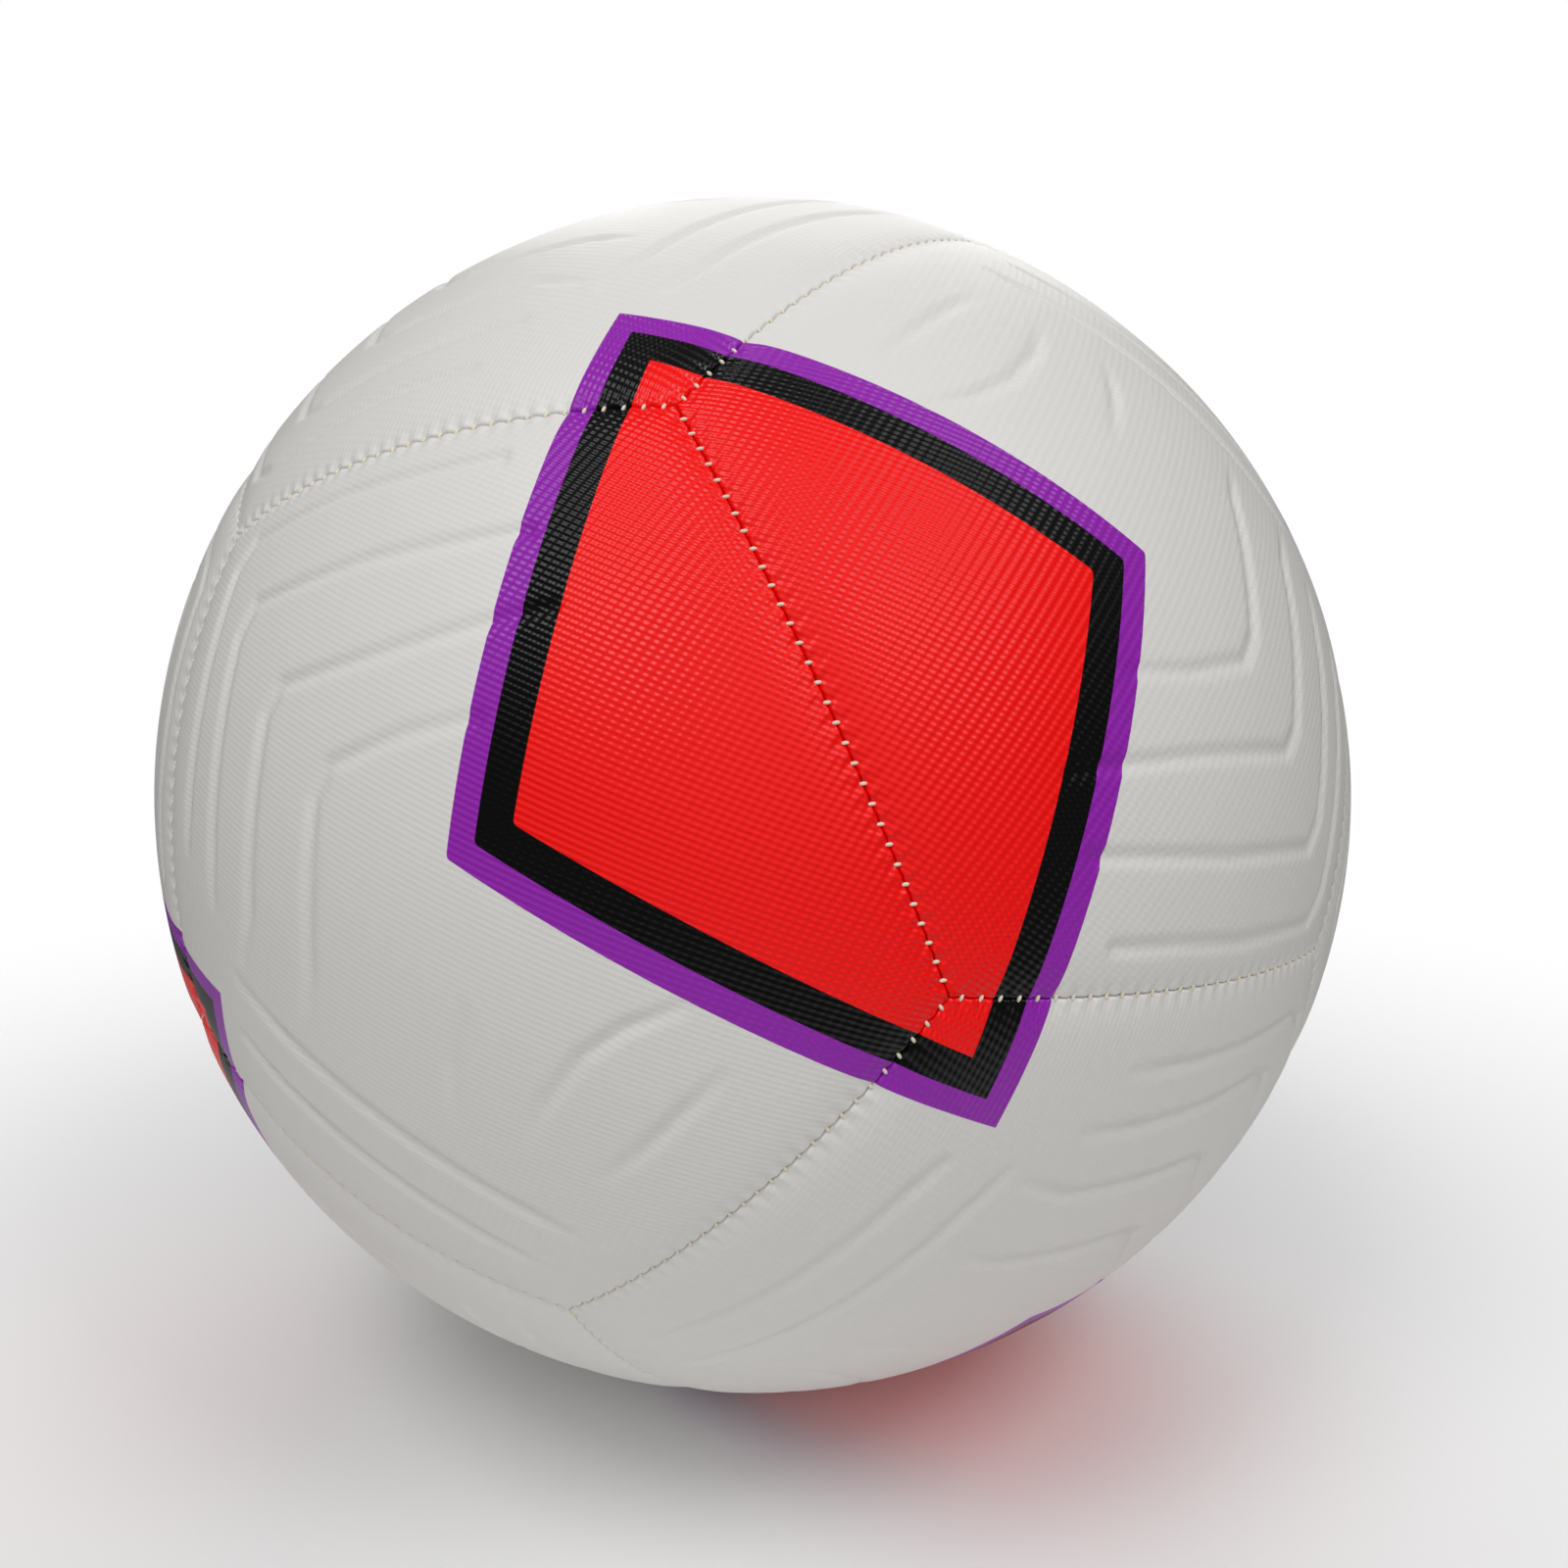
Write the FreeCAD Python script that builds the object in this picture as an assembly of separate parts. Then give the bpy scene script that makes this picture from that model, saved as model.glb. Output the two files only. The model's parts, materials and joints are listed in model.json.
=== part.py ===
"""Football, size 5: twelve stitched pentagon panels over a rubber bladder.

Units are millimetres. The origin is the ball's centre, +Z is up as the ball lies, and the
printed seam that faces the front looks along -Y. Each sub-part is written to parts/NODE.step.

The panels follow a dodecahedron whose six centre seams, one at each end of three square
axes, are a little longer than the other twenty-four. All twelve panels are the same piece,
turned by a third of a turn about a cube diagonal and by half turns about the square axes.
"""
import FreeCAD, Part
import math
import os

from FreeCAD import Rotation, Vector

# Driving dimensions of the casing.
BALL_RADIUS = 110.0          # circumference 691 mm, within the 680 to 700 mm of a size 5
HALF_SEAM_ANGLE = 22.4       # degrees, from the middle of a centre seam to its end
COVER_THICKNESS = 1.0        # embossed polyurethane skin, turned in along every seam
FOAM_THICKNESS = 2.4         # closed-cell foam under the skin
CLOTH_THICKNESS = 0.8        # woven lining behind the foam
GLUE_LINE = 0.05             # film between two laminated layers
HALF_SEAM_GAP = 0.4          # from a seam's middle plane to the turned-in edge
EDGE_ROUND = 1.6             # rounding of the skin where it turns into the seam

# Seam thread.
THREAD_RADIUS = 0.35
THREAD_DEPTH = 3.2           # below the ball's surface
THREAD_END_CLEARANCE = 1.6   # arc length left free at each three-way junction

# Bladder, its valve and the patch that balances the valve.
BLADDER_THICKNESS = 1.0
BLADDER_CLEARANCE = 0.15
PATCH_RADIUS = 19.0
PATCH_THICKNESS = 0.8
HOUSING_RADIUS = 5.0
HOUSING_LENGTH = 17.0        # from the bladder's outside, inwards
NECK_RADIUS = 3.3
COVER_HOLE_RADIUS = 3.6
PLUG_HEAD_RADIUS = 3.3
PLUG_HEAD_THICKNESS = 1.3
PLUG_STEM_RADIUS = 2.4
PLUG_LENGTH = 17.0
PLUG_CLEARANCE = 0.08
PLUG_RECESS = 0.2            # the head lies this far under the ball's surface
NEEDLE_HOLE_RADIUS = 1.05
HOUSING_VENT_RADIUS = 1.6    # where the needle's tip comes out inside the bladder
HEAD_ROUND = 0.5

# How the ball lies: its front centre seam starts upright, then nods, leans and turns.
NOD_ABOUT_X = -18.5
LEAN_ABOUT_Y = -22.1
TURN_ABOUT_Z = 11.5

# Derived sizes.
LAYERS = COVER_THICKNESS + FOAM_THICKNESS + CLOTH_THICKNESS + 2 * GLUE_LINE
LINING_RADIUS = BALL_RADIUS - LAYERS
BLADDER_RADIUS = LINING_RADIUS - BLADDER_CLEARANCE
FOAM_RADIUS = BALL_RADIUS - COVER_THICKNESS - GLUE_LINE
CLOTH_RADIUS = FOAM_RADIUS - FOAM_THICKNESS - GLUE_LINE
EDGE_LAYERS = HALF_SEAM_GAP + COVER_THICKNESS + GLUE_LINE
CUT_MARGIN = 5.0
HOLE_START = BALL_RADIUS / 2     # a cutting rod through the layers starts here
TOLERANCE = 0.05               # for picking edges by their place
VALVE_PANEL = 2

ORIGIN = Vector(0, 0, 0)
AXIS_X = Vector(1, 0, 0)
AXIS_Y = Vector(0, 1, 0)
AXIS_Z = Vector(0, 0, 1)
DIAGONAL = Vector(1, 1, 1)


def lie():
    """Turn from the pattern's square axes to the way that the ball lies."""
    seam_upright = Rotation(AXIS_Z, AXIS_X * -1, AXIS_Y * -1, "ZXY")
    nod = Rotation(AXIS_X, NOD_ABOUT_X)
    lean = Rotation(AXIS_Y, LEAN_ABOUT_Y)
    turn = Rotation(AXIS_Z, TURN_ABOUT_Z)
    return turn * lean * nod * seam_upright


def panel_turns():
    """The twelve turns that carry the first panel to every place in the pattern."""
    turns = []
    for third in range(3):
        for axis in (None, AXIS_X, AXIS_Y, AXIS_Z):
            half_turn = Rotation(axis, 180) if axis else Rotation()
            turns.append(Rotation(DIAGONAL, 120 * third) * half_turn)
    return turns


def first_panel_corners():
    """Unit vectors to the first panel's five corners, in order round the panel."""
    side = math.sin(math.radians(HALF_SEAM_ANGLE))
    rise = math.cos(math.radians(HALF_SEAM_ANGLE))
    corners = [
        Vector(side, 0, rise),
        Vector(1, 1, 1),
        Vector(0, rise, side),
        Vector(-1, 1, 1),
        Vector(-side, 0, rise),
    ]
    for corner in corners:
        corner.normalize()
    return corners


def panel_axis(corners):
    """Unit vector from the ball's centre through the middle of a panel."""
    total = Vector(0, 0, 0)
    for corner in corners:
        total = total + corner
    return total.normalize()


def plane_meeting(first, second, inset, axis, height):
    """Point on two planes at one distance from the centre, at a height along the axis."""
    whole = first.dot(second.cross(axis))
    along = second.cross(axis) * inset + axis.cross(first) * inset + first.cross(second) * height
    return along * (1 / whole)


def panel_wedge(corners, inset, low, high):
    """Straight-sided wedge from the centre outwards, its sides inset from the seam planes."""
    axis = panel_axis(corners)
    sides = []
    for index, corner in enumerate(corners):
        following = corners[(index + 1) % len(corners)]
        sides.append(corner.cross(following).normalize())
    if sides[0].dot(axis) < 0:
        sides = [side * -1 for side in sides]
    rings = []
    for height in (low, high):
        ring = []
        for index, side in enumerate(sides):
            ring.append(plane_meeting(sides[index - 1], side, inset, axis, height))
        rings.append(ring)
    faces = [flat_face(ring) for ring in rings]
    for index in range(len(sides)):
        following = (index + 1) % len(sides)
        outline = [rings[0][index], rings[0][following], rings[1][following], rings[1][index]]
        faces.append(flat_face(outline))
    return Part.makeSolid(Part.makeShell(faces))


def flat_face(points):
    """Flat face inside a closed outline."""
    return Part.Face(Part.makePolygon(points + [points[0]]))


def sphere_facing(radius, axis):
    """Sphere about the centre with its own seam on the side away from the axis."""
    sphere = Part.makeSphere(radius)
    sphere.rotate(ORIGIN, *turn_parts(Rotation(Vector(-1, 0, 0), axis)))
    return sphere


def turn_parts(rotation):
    """Axis and degrees of a rotation, as a shape's rotate takes them."""
    return rotation.Axis, math.degrees(rotation.Angle)


def cap_block(corners, outer, inner, inset):
    """Part of a spherical shell that lies inside a panel's wedge."""
    axis = panel_axis(corners)
    wedge = panel_wedge(corners, inset, inner / 2, outer + CUT_MARGIN)
    return wedge.common(sphere_facing(outer, axis)).cut(sphere_facing(inner, axis))


def rim_edges(shape, radius):
    """Edges that lie wholly on a sphere about the centre."""
    found = []
    for edge in shape.Edges:
        middle = edge.valueAt((edge.FirstParameter + edge.LastParameter) / 2)
        ends = [vertex.Point for vertex in edge.Vertexes]
        if all(abs(point.Length - radius) < TOLERANCE for point in ends + [middle]):
            found.append(edge)
    return found


def cover_panel(corners):
    """Outer skin: a cap whose edges turn in along the seams down to the lining."""
    cap = cap_block(corners, BALL_RADIUS, LINING_RADIUS, HALF_SEAM_GAP)
    rounded = cap.makeFillet(EDGE_ROUND, rim_edges(cap, BALL_RADIUS))
    room_radius = BALL_RADIUS - COVER_THICKNESS
    room = cap_block(corners, room_radius, LINING_RADIUS - CUT_MARGIN, HALF_SEAM_GAP + COVER_THICKNESS)
    return rounded.cut(room)


def foam_panel(corners):
    """Foam layer glued inside the skin."""
    return cap_block(corners, FOAM_RADIUS, FOAM_RADIUS - FOAM_THICKNESS, EDGE_LAYERS)


def cloth_panel(corners):
    """Woven lining glued behind the foam."""
    return cap_block(corners, CLOTH_RADIUS, LINING_RADIUS, EDGE_LAYERS)


def disc_along(axis, radius, low, high):
    """Cylinder along an axis through the centre, between two distances from it."""
    return Part.makeCylinder(radius, high - low, axis * low, axis)


def seam_thread(start, end):
    """One seam's thread: a round arc in the seam plane, short of the corners at both ends."""
    radius = BALL_RADIUS - THREAD_DEPTH
    normal = start.cross(end).normalize()
    spare = math.degrees(THREAD_END_CLEARANCE / radius)
    whole = math.degrees(start.getAngle(end))
    first = Rotation(normal, spare).multVec(start)
    circle = Part.Wire(Part.makeCircle(THREAD_RADIUS, first * radius, normal.cross(first)))
    return Part.Face(circle).revolve(ORIGIN, normal, whole - 2 * spare)


def panel_seams(corners):
    """Start and end of each of the five seams round a panel."""
    pairs = []
    for index, corner in enumerate(corners):
        pairs.append((corner, corners[(index + 1) % len(corners)]))
    return pairs


def all_seams(corners, turns):
    """The six centre seams and the other twenty-four, each met once."""
    centre_seams = []
    side_seams = []
    seen = []
    for turn in turns:
        for start, end in panel_seams(corners):
            start_there = turn.multVec(start)
            end_there = turn.multVec(end)
            middle = (start_there + end_there).normalize()
            if any(middle.distanceToPoint(other) < TOLERANCE for other in seen):
                continue
            seen.append(middle)
            long_seam = start.getAngle(end) > math.radians(2 * HALF_SEAM_ANGLE - TOLERANCE)
            target = centre_seams if long_seam else side_seams
            target.append((start_there, end_there))
    return centre_seams, side_seams


def bladder(valve_axis):
    """Hollow rubber bladder with the round hole that its valve sits in."""
    outside = sphere_facing(BLADDER_RADIUS, valve_axis)
    hollow = sphere_facing(BLADDER_RADIUS - BLADDER_THICKNESS, valve_axis)
    hole = disc_along(valve_axis, HOUSING_RADIUS + PLUG_CLEARANCE, 0, BALL_RADIUS)
    return outside.cut(hollow).cut(hole)


def inner_patch(axis, hole_radius):
    """Round rubber patch on the inside of the bladder, with or without a hole."""
    outer = BLADDER_RADIUS - BLADDER_THICKNESS - GLUE_LINE
    column = disc_along(axis, PATCH_RADIUS, HOLE_START, BALL_RADIUS)
    patch = column.common(sphere_facing(outer, axis)).cut(sphere_facing(outer - PATCH_THICKNESS, axis))
    if hole_radius:
        patch = patch.cut(disc_along(axis, hole_radius, 0, BALL_RADIUS))
    return patch


def valve_levels():
    """Distances from the ball's centre at which the valve's steps lie."""
    head_top = BALL_RADIUS - PLUG_RECESS
    head_under = head_top - PLUG_HEAD_THICKNESS
    neck_top = head_under - PLUG_CLEARANCE
    stem_end = head_top - PLUG_LENGTH
    housing_end = BLADDER_RADIUS - HOUSING_LENGTH
    return head_top, head_under, neck_top, stem_end, housing_end


def valve_housing(axis):
    """Moulded rubber housing: a body inside the bladder and a neck through the panel."""
    neck_top, stem_end, housing_end = valve_levels()[2:]
    body = disc_along(axis, HOUSING_RADIUS, housing_end, BLADDER_RADIUS)
    neck = disc_along(axis, NECK_RADIUS, BLADDER_RADIUS - BLADDER_THICKNESS, neck_top)
    seat = disc_along(axis, PLUG_STEM_RADIUS + PLUG_CLEARANCE, stem_end - PLUG_CLEARANCE, BALL_RADIUS)
    vent = disc_along(axis, HOUSING_VENT_RADIUS, housing_end - CUT_MARGIN, BALL_RADIUS)
    return body.fuse(neck).removeSplitter().cut(seat).cut(vent)


def valve_plug(axis):
    """Push-in plug with a domed head, pierced from end to end for the inflating needle."""
    head_top, head_under, _, stem_end, _ = valve_levels()
    head = disc_along(axis, PLUG_HEAD_RADIUS, head_under, head_top)
    stem = disc_along(axis, PLUG_STEM_RADIUS, stem_end, head_top - HEAD_ROUND)
    plug = head.fuse(stem).removeSplitter()
    plug = plug.makeFillet(HEAD_ROUND, [end_circle(plug, axis * head_top, PLUG_HEAD_RADIUS)])
    plug = plug.makeChamfer(HEAD_ROUND, [end_circle(plug, axis * stem_end, PLUG_STEM_RADIUS)])
    return plug.cut(disc_along(axis, NEEDLE_HOLE_RADIUS, stem_end - CUT_MARGIN, head_top + CUT_MARGIN))


def end_circle(shape, centre, radius):
    """The shape's circular edge of one radius about a point."""
    for edge in shape.Edges:
        curve = edge.Curve
        if isinstance(curve, Part.Circle) and abs(curve.Radius - radius) < TOLERANCE:
            if curve.Center.distanceToPoint(centre) < TOLERANCE:
                return edge
    raise ValueError("no such circle on the valve plug")


def placed(shape, rotation):
    """Copy of a shape, turned about the ball's centre."""
    copy = shape.copy()
    copy.rotate(ORIGIN, *turn_parts(rotation))
    return copy


def write(name, shape):
    """Write one node's STEP file."""
    if not shape.isValid():
        raise ValueError(name + " is not a valid shape")
    shape.exportStep(os.path.join("parts", name + ".step"))


def write_panels(corners, turns, whole_lie):
    """Write the three layers of each of the twelve panels, one of them pierced for the valve."""
    layers = {
        "cover_panel": cover_panel(corners),
        "foam_backing": foam_panel(corners),
        "cloth_lining": cloth_panel(corners),
    }
    hole = disc_along(
        panel_axis(corners), COVER_HOLE_RADIUS, HOLE_START, BALL_RADIUS + CUT_MARGIN
    )
    for kind, layer in layers.items():
        for place, turn in enumerate(turns):
            shape = layer.cut(hole) if place + 1 == VALVE_PANEL else layer
            write(f"{kind}_{place + 1:02d}", placed(shape, whole_lie * turn))


def write_threads(corners, turns, whole_lie):
    """Write the seam threads, grouped by the two lengths of seam."""
    names = ("centre_seam_threads", "side_seam_threads")
    for name, seams in zip(names, all_seams(corners, turns)):
        threads = [seam_thread(start, end) for start, end in seams]
        write(name, placed(Part.makeCompound(threads), whole_lie))


def main():
    os.makedirs("parts", exist_ok=True)
    whole_lie = lie()
    turns = panel_turns()
    corners = first_panel_corners()
    valve_axis = (whole_lie * turns[VALVE_PANEL - 1]).multVec(panel_axis(corners))
    write_panels(corners, turns, whole_lie)
    write_threads(corners, turns, whole_lie)
    write("bladder", bladder(valve_axis))
    write("valve_patch", inner_patch(valve_axis, HOUSING_RADIUS + PLUG_CLEARANCE))
    write("balance_patch", inner_patch(valve_axis * -1, 0))
    write("valve_housing", valve_housing(valve_axis))
    write("valve_plug", valve_plug(valve_axis))
    head_top = valve_axis * valve_levels()[0]
    print("valve axis", [round(value, 6) for value in valve_axis])
    print("valve head", [round(value, 4) for value in head_top])


main()
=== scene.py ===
"""Soccer ball with embossed, printed panels, machine-stitched seams and a push-in valve plug."""
import json
import math

import bmesh
import bpy
import numpy
from bpy.props import FloatProperty, FloatVectorProperty, IntProperty, PointerProperty
from mathutils import Matrix, Vector


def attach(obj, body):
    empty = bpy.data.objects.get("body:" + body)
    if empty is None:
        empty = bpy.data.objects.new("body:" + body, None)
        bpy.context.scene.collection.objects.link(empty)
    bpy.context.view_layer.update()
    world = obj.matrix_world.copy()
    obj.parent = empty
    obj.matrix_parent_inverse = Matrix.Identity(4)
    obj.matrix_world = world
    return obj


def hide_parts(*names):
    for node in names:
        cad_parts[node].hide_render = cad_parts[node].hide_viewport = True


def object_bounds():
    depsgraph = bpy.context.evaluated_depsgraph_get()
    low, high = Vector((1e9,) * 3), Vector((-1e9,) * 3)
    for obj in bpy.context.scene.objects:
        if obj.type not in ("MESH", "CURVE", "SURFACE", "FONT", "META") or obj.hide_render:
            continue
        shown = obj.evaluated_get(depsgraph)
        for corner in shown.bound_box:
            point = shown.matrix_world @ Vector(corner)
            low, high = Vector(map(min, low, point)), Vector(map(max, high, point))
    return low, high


bl_info = {
    "name": "Soccer ball",
    "version": (1, 0, 0),
    "blender": (4, 5, 0),
    "location": "View3D > Sidebar > Ball",
    "description": "Builds the casing, seams and valve of a stitched soccer ball round its frame",
    "category": "Object",
}

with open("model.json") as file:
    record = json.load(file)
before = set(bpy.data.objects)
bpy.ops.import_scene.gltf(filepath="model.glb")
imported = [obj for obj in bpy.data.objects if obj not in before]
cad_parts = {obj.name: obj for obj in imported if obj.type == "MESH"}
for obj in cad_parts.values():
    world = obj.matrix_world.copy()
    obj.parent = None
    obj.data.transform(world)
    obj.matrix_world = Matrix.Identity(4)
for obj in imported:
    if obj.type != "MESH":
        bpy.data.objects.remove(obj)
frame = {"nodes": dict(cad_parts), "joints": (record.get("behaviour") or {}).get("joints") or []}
CAD_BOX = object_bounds()

MM = 0.001
BALL_RADIUS = round(max(CAD_BOX[1]), 3)
LOWEST = -BALL_RADIUS

# The embossed dashes, in mm and degrees, and the share of their relief that the white keeps.
# They are drawn a little coarser than real ones (about 1.35 by 0.54 mm), so that they show.
DASH_PITCH = 1.7
DASH_ROW = 0.66
DASH_RELIEF = 0.065
DASH_LEAN = 0.35
GRAIN_TURN = 72
WHITE_RELIEF = 0.32

# The casing's roughness, from its glossiest to its dullest cloud, and how far ink lowers it.
WHITE_ROUGHNESS = (0.42, 0.5)
INK_GLOSS = 0.14

# The printed diamond, in mm: rounding of its corners, how far its half runs past the middle line,
# and how sharply the ink ends, in shares of full ink per mm.
CORNER_ROUNDING = 1.2
PRINT_OVERLAP = 4
INK_SHARPNESS = 10

# Shaping of a panel's edge: steps of the roll, width of the strip that counts as the outer rim,
# how near a second seam counts as a corner, rounds to settle there, and where grooves fade out.
ROLL_STEPS = 6
RIM_WIDTH = 4 * MM
CORNER_REACH = 0.3 * MM
SETTLING_ROUNDS = 8
GROOVE_FADE = 3 * MM

# Two seams whose middles are nearer than this, on a ball of radius 1, are the same seam.
SAME_SEAM = 0.1

# Room that a row of stitches leaves at a seam's end, and how far its stitches lean.
STITCH_END_ROOM = 1.0 * MM
STITCH_SLANT = 0.3

# The valve plug's outline in mm, as distance from its axis and depth below its top: flared needle
# hole, domed head, then the stem with two shallow grooves. The top lies just under the ball.
PLUG_OUTLINE = [
    (1.05, 0.7), (1.25, 0.25), (1.7, 0.02), (2.3, 0.0), (2.9, 0.12), (3.2, 0.4), (3.28, 0.8),
    (3.2, 1.2), (2.9, 1.3), (2.42, 1.34), (2.38, 1.6), (2.38, 5), (2.2, 5.3), (2.2, 5.9), (2.38, 6.2),
    (2.38, 10), (2.2, 10.3), (2.2, 10.9), (2.38, 11.2), (2.38, 16), (2.2, 16.6), (1.8, 16.95),
    (1.05, 17.0),
]
PLUG_SEGMENTS = 64
HEAD_RECESS = 0.2 * MM

# The camera: degrees above level, distance in ball radii, film width and lens in mm, shifts in
# film widths, and the nearest visible distance in metres.
CAMERA_RISE = 10
CAMERA_DISTANCE = 2.4575
CAMERA_FILM = 36
CAMERA_LENS = 18 / 0.5836
CAMERA_SHIFT = (0.02, 0.00675)
CAMERA_NEAR = 0.01

# Soft lights: name, place and size in metres, power in watts.
SOFTBOXES = [
    ("upper_left", (-0.38, -0.54, 0.98), 0.4, 3.0),
    ("upper_right", (0.56, -0.53, 0.91), 0.4, 2.6),
    ("rear", (0.1, 1.1, 0.8), 1.0, 7),
]

# The floor's radius in metres and number of sides. It fades out between the two distances, in metres.
FLOOR_RADIUS = 4
FLOOR_SIDES = 96
FADE_START = 0.08
FADE_END = 0.42

# Strength of the white surround as light and as the backdrop. Then the even light from above and
# in front: where it comes from, its spread in degrees and its strength.
SURROUND_LIGHT = 0.1
SURROUND_LOOK = 1.0
CEILING_FROM = (-0.05, -1, 0.75)
CEILING_SPREAD = 100
CEILING_STRENGTH = 1.9

# The panel pattern and how the ball lies, as in the CAD part, in degrees.
HALF_SEAM_ANGLE = 22.4
NOD_ABOUT_X = -18.5
LEAN_ABOUT_Y = -22.1
TURN_ABOUT_Z = 11.5
VALVE_PANEL = 2
PANEL_COUNT = 12

BODY = "ball"
PLUG_BODY = "plug"
VALVE_AXIS = Vector(frame["joints"][0]["axis"]).normalized()

# Pressed grooves of one panel, in mm from its middle: to the right along its base seam, then
# up towards its tip. The third number is the share of the full depth at that point.
GROOVES = [
    [(-56, 17, 0.3), (-50, 21, 1), (-14, 43.5, 1), (-8, 46.5, 0.6)],
    [(-54, 6.5, 0.2), (-48, 10, 1), (-8, 35.5, 1), (0, 40, 0.4)],
    [(-10, 27, 0), (-4.5, 21, 1), (15.5, 8, 1), (18.5, 3.5, 1), (17, -9, 0.7), (14, -20, 0.5)],
    [(2, 36, 0.3), (7, 29.5, 1), (30.5, 13.5, 1), (33, 9, 1), (28.5, -9.5, 0.8), (23, -34, 0.7)],
    [(12, 39, 0.4), (18, 35, 1), (45.5, 17.8, 1), (48.6, 13, 1), (43, -9.5, 0.9), (34.5, -34, 0.8)],
    [(22, 43.5, 0.4), (28, 39.5, 1), (58, 18.8, 1), (60.6, 13.5, 1), (56, -8, 1), (47.5, -33, 0.9)],
    [(-38.3, 2.5, 0.1), (-33.7, -3.9, 0.9), (-29.9, -12.5, 1), (-28.8, -20, 1), (-29.6, -28, 0.3)],
    [(-47, -3, 0.1), (-45.2, -11.5, 0.9), (-42.7, -19, 1), (-40, -27.5, 0.2)],
    [(-30, 10, 0.1), (-23.7, 5.2, 0.8), (-18, -1, 0.2)],
]


def linear(code):
    """Linear red, green and blue of an sRGB hex colour."""
    values = []
    for start in (1, 3, 5):
        share = int(code[start:start + 2], 16) / 255
        values.append(share / 12.92 if share <= 0.04045 else ((share + 0.055) / 1.055) ** 2.4)
    return tuple(values)


def colour_property(name, description, code):
    """Colour property whose default is an sRGB hex colour."""
    return FloatVectorProperty(
        name=name, description=description, subtype="COLOR", size=3, min=0, max=1, default=linear(code)
    )


def length_property(name, description, millimetres):
    """Length property whose default is given in millimetres."""
    return FloatProperty(
        name=name, description=description, unit="LENGTH", min=0, precision=5, default=millimetres * MM
    )


class BallSizes(bpy.types.PropertyGroup):
    """Sizes of the casing that a user may change."""

    grid_cuts: IntProperty(
        name="Grid cuts", description="Cuts across each fifth of a panel", subtype="UNSIGNED",
        min=4, max=100, default=70,
    )
    edge_roll: length_property("Edge roll", "Radius of a panel's edge where it turns into the seam", 0.5)
    seam_gap: length_property("Seam gap", "Half the gap between two panels at the bottom of the roll", 0.03)
    turned_edge: length_property("Turned edge", "How far the turned-in edge runs below the roll", 1.2)
    seam_dip: length_property("Seam dip", "How far the casing sinks beside a seam", 0.4)
    seam_dip_width: length_property("Seam dip width", "Distance over which it sinks", 3.6)
    pucker: length_property("Pucker", "Extra depth where a stitch pulls the edge in", 0.42)
    pucker_width: length_property("Pucker width", "Distance over which a pucker dies out", 1.5)
    skin: length_property("Skin", "Thickness of the casing's skin", 1.0)
    groove_depth: length_property("Groove depth", "Depth of the pressed grooves", 0.6)
    groove_half_width: length_property("Groove half width", "From a groove's middle to its lip", 1.6)
    stitch_pitch: length_property("Stitch pitch", "Distance between two stitches", 2.7)
    stitch_length: length_property("Stitch length", "Visible length of one stitch", 1.15)
    thread: length_property("Thread", "Diameter of the seam thread", 0.55)
    stitch_depth: length_property("Stitch depth", "Depth of a stitch below the full ball", 0.85)
    valve_hole: length_property("Valve hole", "Radius of the hole for the valve", 3.55)


class BallColours(bpy.types.PropertyGroup):
    """Colours of the casing, the print and the small parts."""

    white: colour_property("White", "Casing", "#D8D6D2")
    red: colour_property("Red", "Middle of the print", "#F00A08")
    black: colour_property("Black", "Inner border of the print", "#030304")
    purple: colour_property("Purple", "Outer border of the print", "#8E22A8")
    thread: colour_property("Thread", "Seam thread", "#E9DFC9")
    rubber: colour_property("Rubber", "Valve and bladder", "#141415")


def pattern_turns():
    """The twelve turns that carry the first panel to every place in the pattern."""
    turns = []
    for third in range(3):
        for axis in (None, "X", "Y", "Z"):
            half = Matrix.Rotation(math.pi, 3, axis) if axis else Matrix.Identity(3)
            turns.append(Matrix.Rotation(math.radians(120 * third), 3, Vector((1, 1, 1))) @ half)
    return turns


def lie():
    """Turn from the pattern's square axes to the way that the ball lies."""
    upright = Matrix(((0, -1, 0), (0, 0, -1), (1, 0, 0)))
    nod = Matrix.Rotation(math.radians(NOD_ABOUT_X), 3, "X")
    lean = Matrix.Rotation(math.radians(LEAN_ABOUT_Y), 3, "Y")
    turn = Matrix.Rotation(math.radians(TURN_ABOUT_Z), 3, "Z")
    return turn @ lean @ nod @ upright


def panel_corners():
    """Unit vectors to the first panel's corners, the base seam's two ends last and first."""
    side = math.sin(math.radians(HALF_SEAM_ANGLE))
    rise = math.cos(math.radians(HALF_SEAM_ANGLE))
    corners = [(side, 0, rise), (1, 1, 1), (0, rise, side), (-1, 1, 1), (-side, 0, rise)]
    return [Vector(corner).normalized() for corner in corners]


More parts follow.
